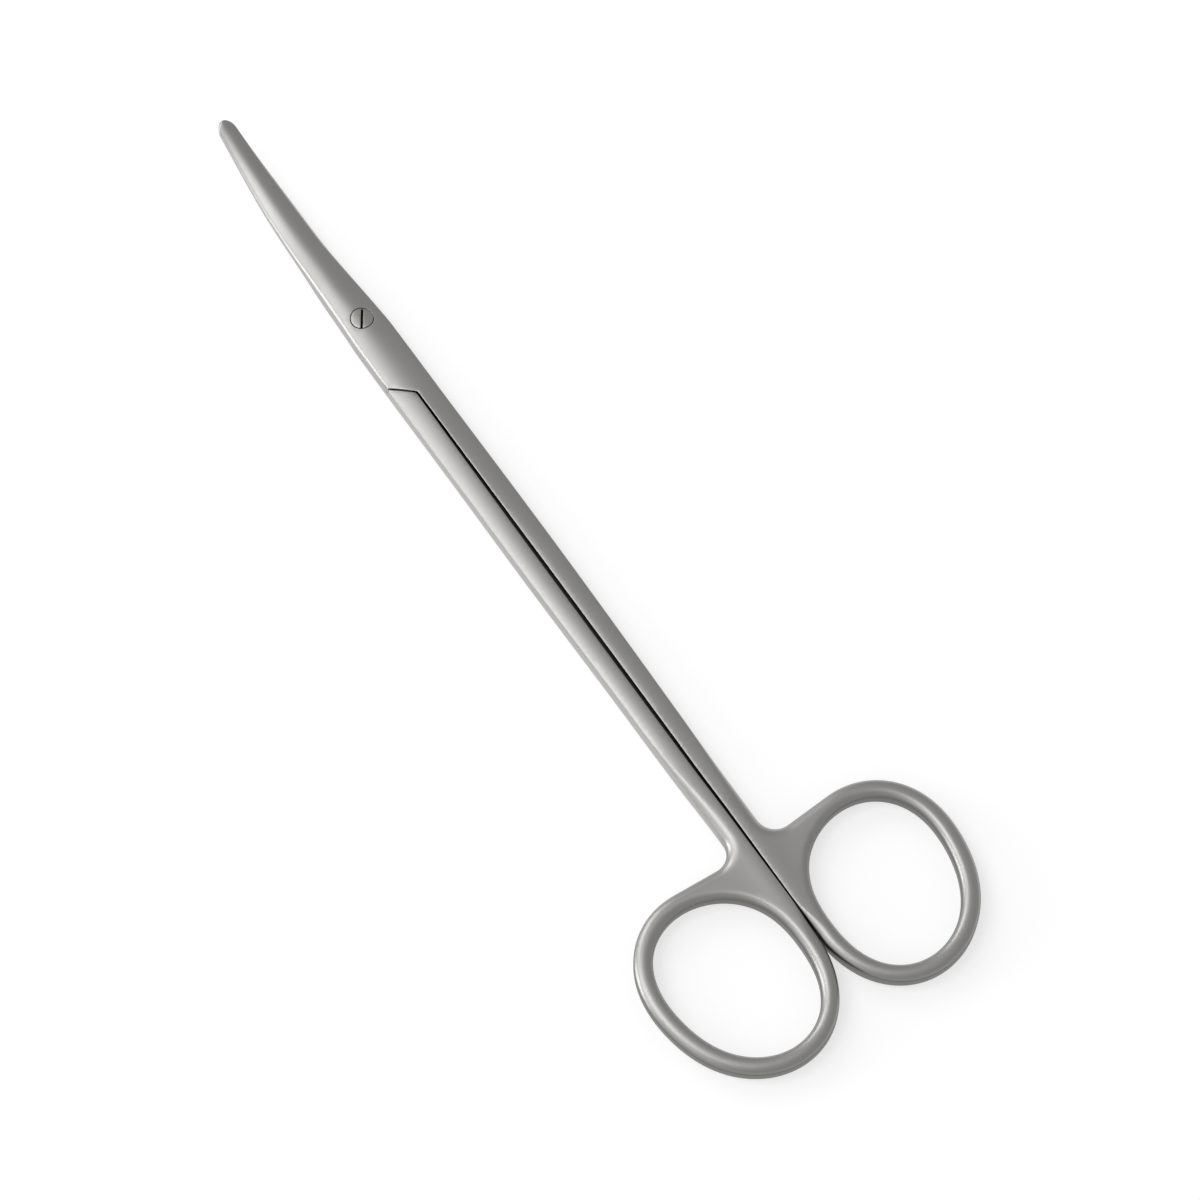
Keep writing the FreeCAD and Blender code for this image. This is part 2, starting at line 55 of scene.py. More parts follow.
blade = {
    "length": 41.0,
    "rootHalfWidth": 3.51,
    "rootPlace": -2.9,
    "tipHalfWidth": 1.38,
    "belly": 0.24,
    "bellyPlace": 25.0,
    "bellyReach": 9.5,
    "lean": 0.2,              # how far the blades stand left of the shanks' middle
    "leanStart": -2.0,
    "leanReach": 12.0,
    "tipRound": 1.7,          # how far behind the end the sides start to close
    "tipBlend": 0.7,
    "bendStart": 13.0,
    "bendRadius": 73.0,
    "rootThickness": 2.0,     # half of the closed thickness
    "tipThickness": 0.75,
    "thinFrom": 0.2,          # as a share of the length
    "thinPower": 1.1,
    "groundStart": -12.0,     # where the joint's crown turns into the blade's flanks
    "groundReach": 22.0,
    "flankSlope": 0.38,       # the outer face is two flanks with a round crest
    "crestWidth": 0.52,       # as a share of the half width
    "crestPlace": 0.1,
    "bevelFrom": 0.12,        # as a share of the length
    "bevelReach": 0.3,
    "bevelWide": 0.4,
    "bevelLeast": 0.05,
    "bevelPower": 1.3,
    "edgeHeight": 0.35,
    "hollowDepth": 0.12,
    "hollowFrom": 0.24,       # as a share of the length
    "hollowTo": 0.95,
    "hollowEase": 3.0,
    "land": 0.55,
}

joint = {
    "halfWidth": 3.51,
    "crownRadius": 10.8,
    "crownSlope": 0.6,
    "shoulderBack": 15.9,
    "shoulderFront": 12.57,
    "shoulderGap": 0.12,
    "lapGap": 0.03,
}

shank = {
    "length": 139.0,          # pivot to the far end of the rings
    "halfWidth": 3.5,
    "rearHalfWidth": 3.14,
    "frontReach": 0.4,        # shares of the length: from the joint's width to the shank's,
    "narrowFrom": 0.33,       # and from there to the rear width
    "narrowReach": 0.32,
    "lean": 0.1,
    "leanStart": -12.0,
    "leanEnd": -95.0,
    "leanReach": 25.0,
    "crestOffset": 1.0,       # each shank has a crown of its own behind the joint
    "crownRadius": 8.2,
    "crownReach": 40.0,
    "webFrom": 0.6,           # as a share of the length
    "webRound": 0.8,
    "webSlope": 0.07,
    "webDrop": 0.2,
    "halfThickness": 1.96,
    "thickReach": 0.12,
    "edgeBreak": 0.12,
    "backWide": 0.8,          # the rounding along the blades' backs
    "backHigh": 0.62,
    "backStart": -40.0,
    "backReach": 25.0,
    "backNarrower": 0.35,     # it gets smaller along the blade
    "backLower": 0.55,
    "backMost": 0.7,          # of the height of the side
    "slitEdge": 0.1,          # width and height of the fine edge along the slit
    "slitLean": 0.05,         # how far the slit stands to the right
    "slitFront": 0.17,        # half of the slit between the shanks
    "slitMiddle": 0.3,
    "slitRings": 0.09,
    "slitStop": 4.0,          # this far in front of the rings' middle the slit has its last width
    "contactStart": 6.0,      # and this far in front its edge begins to turn into the ring's slope
    "contactReach": 8.0,
}


def smooth(share):
    share = np.clip(share, 0.0, 1.0)
    return share * share * (3 - 2 * share)


def spaced(start, end, step):
    count = max(2, int(math.ceil(abs(end - start) / step)) + 1)
    return np.linspace(start, end, count)


def toward(a, b, share):
    return tuple(p * (1 - share) + q * share for p, q in zip(a, b))


# The closed form that the two halves share

def partingRise(distance):
    past = np.maximum(0.0, distance - blade["bendStart"])
    return blade["bendRadius"] - np.sqrt(blade["bendRadius"] ** 2 - past ** 2)


def halfWidth(y):
    start = blade["rootPlace"]
    share = np.clip((y - start) / (blade["length"] - start), 0.0, 1.0)
    straight = blade["rootHalfWidth"] * (1 - share) + blade["tipHalfWidth"] * share
    front = straight + blade["belly"] * np.exp(-((y - blade["bellyPlace"]) / blade["bellyReach"]) ** 2)
    widening = smooth(-y / (shank["frontReach"] * shank["length"]))
    middle = joint["halfWidth"] + (shank["halfWidth"] - joint["halfWidth"]) * widening
    back = smooth((-y / shank["length"] - shank["narrowFrom"]) / shank["narrowReach"])
    return np.where(y > start, front, middle + (shank["rearHalfWidth"] - shank["halfWidth"]) * back)


# The middle of the closed scissors, which isn't quite straight.
def centreLine(y):
    front = smooth((y - blade["leanStart"]) / blade["leanReach"])
    start = smooth((shank["leanStart"] - y) / shank["leanReach"])
    end = smooth((y - shank["leanEnd"]) / shank["leanReach"])
    return shank["lean"] * (start * end) - blade["lean"] * front


def halfThickness(y):
    root = blade["thinFrom"] * blade["length"]
    share = np.clip((y - root) / (blade["length"] - root), 0.0, 1.1)
    thinner = blade["rootThickness"] - blade["tipThickness"]
    front = blade["rootThickness"] - thinner * share ** blade["thinPower"]
    back = smooth((-y - joint["shoulderBack"]) / (shank["thickReach"] * shank["length"]))
    return front + (shank["halfThickness"] - blade["rootThickness"]) * back


# How far a face has fallen at x from its crest: round there, and a flat flank further out.
def rounded(x, slope, width):
    return slope * width * np.log(np.cosh(x / width))


# How far the outer face has fallen below its highest line.
def faceDrop(x, y):
    ground = smooth((y - blade["groundStart"]) / blade["groundReach"])
    wide = halfWidth(y)
    oneCrown = rounded(x, joint["crownSlope"], joint["crownSlope"] * joint["crownRadius"])
    crest = x + blade["crestPlace"] * wide * ground
    flanks = rounded(crest, blade["flankSlope"], blade["crestWidth"] * wide)
    front = oneCrown * (1 - ground) + flanks * ground
    apart = smooth((-joint["shoulderBack"] - y) / shank["crownReach"])
    offset = shank["crestOffset"] * apart
    radius = joint["crownRadius"] + (shank["crownRadius"] - joint["crownRadius"]) * apart
    own = (np.abs(x) - offset) ** 2 / (2 * radius)
    rear = rearShare(y)
    webbed = rounded(np.abs(x) - shank["crestOffset"], shank["webSlope"], shank["webRound"])
    web = shank["webDrop"] * np.tanh(webbed / shank["webDrop"])
    behind = own * (1 - rear) + web * rear
    return np.where(y > -joint["shoulderBack"], front, behind)


# Ring and crotch, on the right

ring = {
    "centreX": 13.51,
    "shift": 0.1,             # both rings stand a little to the right
    "shiftStart": -92.0,
    "shiftReach": 10.0,
    "openingRadius": 11.93,   # mean, and below how the opening leaves a circle:
    "waves": (                # corners, amount, place
        (2, 1.35, math.radians(78)),
        (3, 0.16, math.radians(26.4)),
        (4, 0.12, math.radians(58)),
    ),
    "band": 2.78,
    "bandWave": 0.17,
    "bandPlace": 0.0,
    "contactBand": 0.25,      # the bands are wider where the two rings lie together
    "contactPlace": math.radians(194),
    "contactReach": math.radians(20),
    "innerShare": 0.45,       # of the band slopes to the opening
    "innerPower": 2.0,        # 1 is a flat slope, 2 a round edge
    "innerWall": 1.2,
    "outerPower": 2.0,
    "outerWall": 1.5,
    "slopeShare": 0.97,       # the two slopes together, as a share of the band
    "contactFrom": math.radians(165),
    "contactTo": math.radians(250),
    "crotchFrom": math.radians(40),
    "crotchTo": math.radians(120),
    "crotchRadius": 3.2,
    "crotchDip": 0.4,
    "crotchWide": 1.85,       # the broad rounding beside the shank
    "crotchHigh": 1.3,
}


# A point of the opening's edge, turned from +x, and the way out of the opening there.
def ringWalk(turn):
    radius, change = ring["openingRadius"], 0.0
    for corners, amount, place in ring["waves"]:
        radius += amount * math.cos(corners * (turn - place))
        change -= amount * corners * math.sin(corners * (turn - place))
    point = np.array([ring["centreX"] + radius * math.cos(turn), ringCentreY + radius * math.sin(turn)])
    along = np.array([change * math.cos(turn) - radius * math.sin(turn),
                      change * math.sin(turn) + radius * math.cos(turn)])
    along = along / np.hypot(*along)
    return point, np.array([along[1], -along[0]])


def bandAt(turn):
    contact = math.exp(-((turn - ring["contactPlace"]) / ring["contactReach"]) ** 2)
    wave = ring["bandWave"] * math.cos(turn - ring["bandPlace"])
    return ring["band"] + wave + ring["contactBand"] * contact


def ringEdge(turn):
    point, out = ringWalk(turn)
    return tuple(point + out * bandAt(turn))


def lowestRing():
    return min(ringEdge(turn)[1] for turn in np.linspace(math.pi, 2 * math.pi, 181))


ringCentreY = 0.0
ringCentreY = -shank["length"] - lowestRing()


# The round corner beside the shank, and the straight that runs from it onto the ring.
def placeCrotch():
    turns = np.linspace(ring["crotchFrom"], ring["crotchTo"], 321)
    edge = np.array([ringEdge(turn) for turn in turns])
    radius = ring["crotchRadius"]
    x = shank["rearHalfWidth"] + radius
    y = edge[:, 1].max() - ring["crotchDip"] + radius
    slope = 0.0
    for step in range(20):
        start = np.array([x + radius * math.sin(slope), y - radius * math.cos(slope)])
        rises = np.arctan2(edge[:, 1] - start[1], edge[:, 0] - start[0])
        touching = int(rises.argmax())
        slope = rises[touching]
    return {"x": x, "y": y, "start": start, "slope": slope, "turn": turns[touching]}


crotch = placeCrotch()


# 0 along the shanks and 1 where web and rings begin.
def rearShare(y):
    start = -shank["webFrom"] * shank["length"]
    return smooth((start - y) / (start - crotch["y"]))


# Half of the slit between the shanks, a slow curve from the joint to the rings.
def slitHalf(y):
    front = -joint["shoulderBack"]
    share = np.clip((front - y) / (front - ringCentreY - shank["slitStop"]), 0.0, 1.0)
    ends = shank["slitFront"] * (1 - share) + shank["slitRings"] * share
    bow = shank["slitMiddle"] - (shank["slitFront"] + shank["slitRings"]) / 2
    return ends + 4 * bow * share * (1 - share)


# The outer face above the parting face, before its edges are worked.
def outerHeight(points, side):
    x, y = points[:, 0], points[:, 1]
    return halfThickness(y) - faceDrop(x - side * centreLine(y), y)


# Worked edges: every sample along an edge is x, y and how wide, high and round the edge is

bandTop = shank["halfThickness"] - shank["webDrop"]
innerWide = ring["innerShare"] * ring["band"]
outerWide = (ring["slopeShare"] - ring["innerShare"]) * ring["band"]
innerSlope = (innerWide, bandTop - ring["innerWall"] / 2, ring["innerPower"])
outerSlope = (outerWide, bandTop - ring["outerWall"] / 2, ring["outerPower"])
crotchSlope = (ring["crotchWide"], ring["crotchHigh"], 2.0)
slitEdge = (shank["slitEdge"], shank["slitEdge"], 2.0)
tipEdge = (0.5, 0.3, 2.0)
fineEdge = (0.03, 0.03, 2.0)


def sideEdge(y, cutting):
    rear = float(rearShare(y))
    broken = (shank["edgeBreak"], shank["edgeBreak"], 2.0)
    edge = toward(broken, crotchSlope, rear)
    past = y - blade["bevelFrom"] * blade["length"]
    ground = float(smooth(past / (blade["bevelReach"] * blade["length"])))
    sideHeight = float(halfThickness(y) - faceDrop(halfWidth(y), y))
    if cutting:
        high = max(blade["bevelLeast"], sideHeight - blade["edgeHeight"])
        return toward(edge, (blade["bevelWide"], high, blade["bevelPower"]), ground)
    wide = shank["backWide"] * (1 - shank["backNarrower"] * ground)
    high = shank["backHigh"] * (1 - shank["backLower"] * ground)
    back = (wide, min(high, shank["backMost"] * sideHeight), 2.0)
    return toward(edge, back, float(smooth((y - shank["backStart"]) / shank["backReach"])))


# Along the slit the edge is fine, and past the contact it is the ring's slope.
def slitEdgeAt(y):
    past = ringCentreY + shank["contactStart"] - y
    return toward(slitEdge, outerSlope, float(smooth(past / shank["contactReach"])))


# The diagonal shoulder, from the axis to that side.
def shoulderY(x, side):
    rise = (joint["shoulderBack"] - joint["shoulderFront"]) / joint["halfWidth"]
    return -joint["shoulderBack"] + rise * side * x


# The turn at which the ring's outer edge leaves the slit's line.
def ringContact(side):
    turns = np.linspace(ring["contactFrom"], ring["contactTo"], 600)
    across = [ringEdge(turn)[0] for turn in turns]
    slitSide = shank["slitRings"] + side * shank["slitLean"]
    inside = [index for index, x in enumerate(across) if x < slitSide]
    return turns[inside[-1]] if inside else turns[int(np.argmin(across))]


# Steps along the edges, numbers of points round the curves, and the grid between the edges
sampling = {
    "straight": 0.6,
    "curve": 0.35,
    "webStart": -75.0,        # behind this the sides are sampled as a curve
    "shoulder": 0.3,
    "slot": 0.25,
    "tip": 29,
    "ring": 300,
    "opening": 230,
    "crotch": 26,
    "grid": 0.75,
    "screwGrid": 0.3,
    "left": -5.0,             # where a half's grid begins and ends
    "right": 30.0,
    "rows": (0.02, 0.07, 0.16, 0.28, 0.42, 0.6, 0.8, 1.0),
    "narrow": 0.3,            # edges narrower than this need every second row only
    "clear": 0.2,
    "crowd": 0.93,            # a row's point is dropped where another edge is nearer than this share
    "rise": 0.87,             # from one row of the grid to the next
}


# The right half's outline from above, its metal on the left hand of the walk.
def halfOutline(side):
    rows = []
    tipStart = blade["length"] - blade["tipRound"]
    web = spaced(crotch["y"], sampling["webStart"], sampling["curve"])
    front = spaced(sampling["webStart"], tipStart, sampling["straight"])
    for y in np.concatenate([web, front[1:]]):
        rows.append((float(side * centreLine(y) + halfWidth(y)), y) + sideEdge(y, True))
    reach, middle = float(halfWidth(tipStart)), float(side * centreLine(tipStart))
    for turn in np.linspace(0, math.pi, sampling["tip"])[1:-1]:
        share = math.sin(turn) ** blade["tipBlend"]
        edge = toward(sideEdge(tipStart, turn < math.pi / 2), tipEdge, share)
        x = middle + reach * math.cos(turn)
        y = tipStart + blade["tipRound"] * math.sin(turn)
        rows.append((x, y) + edge)
    lift = joint["shoulderGap"] * math.sqrt(2)
    for y in spaced(tipStart, shoulderY(-joint["halfWidth"], -1) + lift, sampling["straight"]):
        rows.append((float(side * centreLine(y) - halfWidth(y)), y) + sideEdge(y, False))
    for x in spaced(rows[-1][0], shank["slitFront"], sampling["shoulder"])[1:]:
        rows.append((x, shoulderY(x, -1) + lift) + slitEdge)
    contact = ringContact(side)
    stop = ringEdge(contact)[1]
    for y in spaced(rows[-1][1], stop, sampling["straight"])[1:]:
        rows.append((float(slitHalf(y)) + side * shank["slitLean"], y) + slitEdgeAt(y))
    for turn in np.linspace(contact, crotch["turn"] + 2 * math.pi, sampling["ring"])[1:]:
        rows.append(ringEdge(turn) + outerSlope)
    length = math.dist(rows[-1][:2], crotch["start"])
    for share in np.linspace(0, 1, int(length / sampling["curve"]))[1:-1]:
        place = toward(ringEdge(crotch["turn"]), crotch["start"], share)
        rows.append(place + toward(outerSlope, crotchSlope, share))
    for angle in np.linspace(crotch["slope"] - math.pi / 2, -math.pi, sampling["crotch"])[:-1]:
        x = crotch["x"] + ring["crotchRadius"] * math.cos(angle)
        y = crotch["y"] + ring["crotchRadius"] * math.sin(angle)
        rows.append((x, y) + crotchSlope)
    return np.array(rows)


def ringOpening():
    turns = np.linspace(0, -2 * math.pi, sampling["opening"])[:-1]
    return np.array([tuple(ringWalk(turn)[0]) + innerSlope for turn in turns])


def roundHole(radius, edge, count):
    angles = np.linspace(0, -2 * math.pi, count + 1)[:-1]
    return np.array([(radius * math.cos(a), radius * math.sin(a)) + edge for a in angles])


# The other half's lap ends here, on the right half's inner face.
def stepLine():
    drop = joint["shoulderGap"] * math.sqrt(2)
    over = 2 * sampling["shoulder"]
    xs = spaced(-over, joint["halfWidth"] + over, sampling["shoulder"])[::-1]
    return np.array([(x, shoulderY(x, 1) - drop) + slitEdge for x in xs])


def ringShift(y):
    return ring["shift"] * float(smooth((ring["shiftStart"] - y) / ring["shiftReach"]))


# Solids from a plan: faces above and below one set of triangles, joined by walls

# Even-odd test against all the loops together.
def insideLoops(points, loops):
    inside = np.zeros(len(points), bool)
    x, y = points[:, 0], points[:, 1]
    for loop in loops:
        ax, ay = loop[:, 0], loop[:, 1]
        bx, by = np.roll(ax, -1), np.roll(ay, -1)
        for i in range(len(loop)):
            crosses = (ay[i] > y) != (by[i] > y)
            if not crosses.any():
                continue
            at = ax[i] + (y - ay[i]) * (bx[i] - ax[i]) / (by[i] - ay[i] if by[i] != ay[i] else 1e-12)
            inside ^= crosses & (x < at)
    return inside


# Nearest edge of each point, with the edge's width, height and roundness there.
class EdgeSet:

    def __init__(self, lines):
        starts, ends = [], []
        for points, closed in lines:
            after = np.roll(points, -1, axis=0)
            if not closed:
                points, after = points[:-1], after[:-1]
            starts.append(points)
            ends.append(after)
        self.start = np.vstack(starts)
        self.end = np.vstack(ends)
        self.tree = KDTree(len(self.start))
        for index, (a, b) in enumerate(zip(self.start, self.end)):
            self.tree.insert(((a[0] + b[0]) / 2, (a[1] + b[1]) / 2, 0), index)
        self.tree.balance()

    def measure(self, points):
        near = np.array([[hit[1] for hit in self.tree.find_n((p[0], p[1], 0), 4)] for p in points])
        best = np.full(len(points), 1e9)
        values = np.zeros((len(points), 3))
        for column in range(near.shape[1]):
            a, b = self.start[near[:, column]], self.end[near[:, column]]
            along = b[:, :2] - a[:, :2]
            length = np.maximum(1e-12, (along ** 2).sum(1))
            share = np.clip(((points - a[:, :2]) * along).sum(1) / length, 0, 1)
            gap = points - (a[:, :2] + along * share[:, None])
            away = np.hypot(gap[:, 0], gap[:, 1])
            closer = away < best
            best[closer] = away[closer]
            mixed = a[:, 2:] * (1 - share[:, None]) + b[:, 2:] * share[:, None]
            values[closer] = mixed[closer]
        return best, values

    # How far the worked edge has fallen below the face at each point.
    def drop(self, points):
        away, values = self.measure(points)
        wide, high, power = values[:, 0], values[:, 1], values[:, 2]
        left = 1 - np.clip(away / wide, 0, 1)
        return high * (1 - np.maximum(0, 1 - left ** power) ** (1 / power))


# Rows of points beside an edge, into the metal on its left hand.
def offsetRows(line, closed):
    points = line[:, :2]
    ahead = np.roll(points, -1, axis=0) - np.roll(points, 1, axis=0)
    if not closed:
        ahead[0] = points[1] - points[0]
        ahead[-1] = points[-1] - points[-2]
    ahead = ahead / np.maximum(1e-9, np.hypot(ahead[:, 0], ahead[:, 1]))[:, None]
    left = np.stack([-ahead[:, 1], ahead[:, 0]], 1)
    for number, share in enumerate(sampling["rows"]):
        away = line[:, 2] * share
        used = (line[:, 2] > sampling["narrow"]) | (number % 2 == 1)
        yield points + left * away[:, None], away, used


# Triangles of a plan: loops and lines are its edges, with rows beside them and a grid between.
def planOf(loops, lines, box, step):
    everyEdge = EdgeSet([(loop, True) for loop in loops] + [(line, False) for line in lines])
    points, joins = [], []

    def addLine(row, kept, closed):
        first = len(points)
        points.extend(Vector(p) for p in row)
        count = len(row)
        for i in range(count if closed else count - 1):
            j = (i + 1) % count
            if kept[i] and kept[j]:
                joins.append((first + i, first + j))

    for group, closed in ((loops, True), (lines, False)):
        for line in group:
            addLine(line[:, :2], np.ones(len(line), bool), closed)
    for group, closed in ((loops, True), (lines, False)):
        for line in group:
            for row, away, used in offsetRows(line, closed):
                distance = everyEdge.measure(row)[0]
                kept = used & (distance > sampling["crowd"] * away) & insideLoops(row, loops)
                if not kept.any():
                    continue
                order = np.flatnonzero(kept)
                base = len(points)
                places = {int(i): base + n for n, i in enumerate(order)}
                points.extend(Vector(row[i]) for i in order)
                for i in order:
                    j = (i + 1) % len(row)
                    if int(j) in places and (closed or j > i):
                        joins.append((places[int(i)], places[int(j)]))
    (lowX, lowY), (highX, highY) = box
    grid = np.array([(x + (0.5 * step if row % 2 else 0.0), y)
                     for row, y in enumerate(np.arange(lowY, highY, step * sampling["rise"]))
                     for x in np.arange(lowX, highX, step)])
    grid = grid[insideLoops(grid, loops)]
    distance, values = everyEdge.measure(grid)
    grid = grid[distance > values[:, 0] + sampling["clear"]]
    points.extend(Vector(p) for p in grid)
    found = delaunay_2d_cdt(points, joins, [], 0, 1e-5)
    plan = np.array([tuple(p) for p in found[0]])
    corners = np.array([face for face in found[2] if len(face) == 3])
    middles = plan[corners].mean(axis=1)
    corners = corners[insideLoops(middles, loops)]
    a, b, c = plan[corners[:, 0]], plan[corners[:, 1]], plan[corners[:, 2]]
    area = (b[:, 0] - a[:, 0]) * (c[:, 1] - a[:, 1]) - (b[:, 1] - a[:, 1]) * (c[:, 0] - a[:, 0])
    corners[area < 0] = corners[area < 0][:, ::-1]
    return plan, corners


# A closed mesh over a plan; a zone is one height function, and zones meet in upright walls.
def plateSolid(plan, corners, topZones, bottomZones, topHeight, bottomHeight):
    vertices, faces = [], []
    stacks = {}

    def vertexAt(index, height):
        stack = stacks.setdefault(index, [])
        for known, number in stack:
            if abs(known - height) < 1e-6:
                return number
        vertices.append((plan[index, 0], plan[index, 1], height))
        stack.append((height, len(vertices) - 1))
        return len(vertices) - 1

    layers = []
    for zones, heightOf in ((topZones, topHeight), (bottomZones, bottomHeight)):
        layer = np.zeros(corners.shape, int)
        for zone in sorted(set(zones)):
            members = np.flatnonzero(zones == zone)
            used = np.unique(corners[members])
            heights = dict(zip(used, heightOf(plan[used], zone)))
            for face in members:
                for corner in range(3):
                    index = corners[face, corner]
                    layer[face, corner] = vertexAt(index, heights[index])
        layers.append(layer)
    top, bottom = layers
    for face in range(len(corners)):
        faces.append(tuple(top[face]))
        faces.append(tuple(bottom[face][::-1]))

    # The vertices at one place between two heights, from the first to the second.
    def upright(index, first, second):
        low, high = vertices[first][2], vertices[second][2]
        least, most = min(low, high) - 1e-9, max(low, high) + 1e-9
        between = sorted((h, n) for h, n in stacks[index] if least <= h <= most)
        numbers = [n for h, n in between]
        return numbers if low <= high else numbers[::-1]

    def wall(u, v, lowU, lowV, highV, highU):
        sides = upright(v, lowV, highV)
        back = upright(u, highU, lowU)
        loop = []
        for number in sides + back:
            if number not in loop:
                loop.append(number)
        if len(loop) > 2:
            faces.append(tuple(loop))

    owners = {}
    for face in range(len(corners)):
        for k in range(3):
            owners[(corners[face, k], corners[face, (k + 1) % 3])] = (face, k)
    for (u, v), (face, k) in owners.items():
        after = (k + 1) % 3
        other = owners.get((v, u))
        if other is None:
            wall(u, v, bottom[face, k], bottom[face, after], top[face, after], top[face, k])
            continue
        if (v, u) < (u, v):
            continue
        twin, m = other
        twinU, twinV = (m + 1) % 3, m
        if topZones[face] != topZones[twin]:
            wall(u, v, top[twin, twinU], top[twin, twinV], top[face, after], top[face, k])
        if bottomZones[face] != bottomZones[twin]:
            wall(u, v, bottom[face, k], bottom[face, after], bottom[twin, twinV], bottom[twin, twinU])
    return vertices, faces


screw = {
    "headRadius": 1.78,
    "headRim": 0.3,
    "stemRadius": 0.95,
    "gap": 0.12,
    "rimBreak": 0.05,
    "slotWidth": 0.38,
    "slotDepth": 0.5,
    "slotTurn": math.radians(-34),
    "slotOver": 0.3,          # how far the slot's lines run past the head
    "play": 0.01,             # between the stem and the hole of the lower half
    "stemCorners": 48,
    "headCorners": 72,
    "within": 0.999,          # of a circle's radius is safely inside it
}

# Where the walls of narrow gaps are found
hidden = {
    "upright": 0.3,           # a wall's normal rises no more than this
    "slitReach": 0.5,
    "shoulderReach": 0.15,
    "sideClear": 0.02,
    "boreClear": 0.2,
    "slotClear": 0.4,
    "floor": 0.9,             # and a floor's normal rises no less than this
}


# Upright walls of the slit, the shoulder and the bore, which get the painted shade of narrow gaps
def isHidden(middle, normal):
    if abs(normal.z) > hidden["upright"]:
        return False
    alongSlit = ringCentreY < middle.y < -joint["shoulderFront"]
    inSlit = abs(middle.x) < hidden["slitReach"] and alongSlit
    offShoulder = min(abs(middle.y - shoulderY(middle.x, side)) for side in (1, -1))
    inside = abs(middle.x) < joint["halfWidth"] - hidden["sideClear"]
    atShoulder = offShoulder < hidden["shoulderReach"] and inside
    inBore = math.hypot(middle.x, middle.y) < screw["headRadius"] + hidden["boreClear"]
    return inSlit or atShoulder or inBore


# The floor of the screw's slot, which gets the same painted shade
def isSlotFloor(middle, normal):
    inHead = math.hypot(middle.x, middle.y) < screw["headRadius"]
    isLow = middle.z < blade["rootThickness"] - hidden["slotClear"]
    return inHead and isLow and normal.z > hidden["floor"]


sharpAngle = math.radians(38)


def meshPiece(name, vertices, faces, side):
    placed = [(pivot.x + side * x * mm, pivot.y + y * mm, pivot.z + side * z * mm)
              for x, y, z in vertices]
    mesh = bpy.data.meshes.new(name)
    mesh.from_pydata(placed, [], faces)
    mesh.validate()
    for polygon in mesh.polygons:
        place = (polygon.center / mm - pivot / mm) * side
        middle = Vector((place.x, polygon.center.y / mm - pivot.y / mm, place.z))
        # faces in narrow gaps and the slot's floor take the second material, which paints shade on them
        dark = isHidden(middle, polygon.normal)
        if name == "pivotScrew":
            dark = dark or isSlotFloor(middle, polygon.normal)
        polygon.material_index = 1 if dark else 0
    mesh.shade_smooth()
    mesh.set_sharp_from_angle(angle=sharpAngle)
    piece = bpy.data.objects.new(name, mesh)
    bpy.context.scene.collection.objects.link(piece)
    return piece


# The two halves

# How deep the inner face is ground away between the blade's lands.
def hollow(points):
    x, y = points[:, 0], points[:, 1]
    inner = np.maximum(0.1, halfWidth(y) - blade["land"])
    across = np.clip(1 - (x / inner) ** 2, 0, 1)
    start = smooth((y - blade["hollowFrom"] * blade["length"]) / blade["hollowEase"])
    end = smooth((blade["hollowTo"] * blade["length"] - y) / blade["hollowEase"])
    return blade["hollowDepth"] * across * start * end


def makeHalf(name, side):
    outline = halfOutline(side)
    opening = ringOpening()
    bore = screw["stemRadius"] + (screw["gap"] if side == upperSide else 0.0)
    hole = roundHole(bore, fineEdge, screw["stemCorners"])
    seatRadius = screw["headRadius"] + screw["gap"]
    seat = roundHole(seatRadius, (screw["rimBreak"], screw["rimBreak"], 2.0), screw["headCorners"])
    step = stepLine()
    box = ((sampling["left"], -shank["length"]), (sampling["right"], blade["length"]))
    lines = [step, np.vstack([seat, seat[:1]])] if side == upperSide else [step]
    plan, corners = planOf([outline, opening, hole], lines, box, sampling["grid"])
    mouth = seat if side == upperSide else hole
    outerEdges = EdgeSet([(outline, True), (opening, True), (mouth, True)])
    innerEdges = EdgeSet([(outline, True), (opening, True), (step, False)])
    middles = plan[corners].mean(axis=1)
    drop = joint["shoulderGap"] * math.sqrt(2)
    lapped = (middles[:, 1] > shoulderY(middles[:, 0], 1) - drop).astype(int)
    seated = np.zeros(len(corners), int)
    if side == upperSide:
        seated = (np.hypot(middles[:, 0], middles[:, 1]) < seatRadius * screw["within"]).astype(int)

    def outer(points, zone):
        if zone == 1:
            rim = blade["rootThickness"] - screw["headRim"]
            return rim - (seatRadius - np.hypot(points[:, 0], points[:, 1]))
        rise = side * partingRise(points[:, 1])
        return rise + outerHeight(points, side) - outerEdges.drop(points)

    def inner(points, zone):
        if zone == 1:
            distance = np.hypot(points[:, 0], points[:, 1])
            return side * partingRise(distance) + joint["lapGap"] + hollow(points)
        return innerEdges.drop(points) - outerHeight(points, side)

    vertices, faces = plateSolid(plan, corners, seated, lapped, outer, inner)
    vertices = [(x + side * ringShift(y), y, z) for x, y, z in vertices]
    piece = meshPiece(name, vertices, faces, side)
    print("made", name, len(vertices), "vertices", len(faces), "faces")
    return piece


# The pivot screw

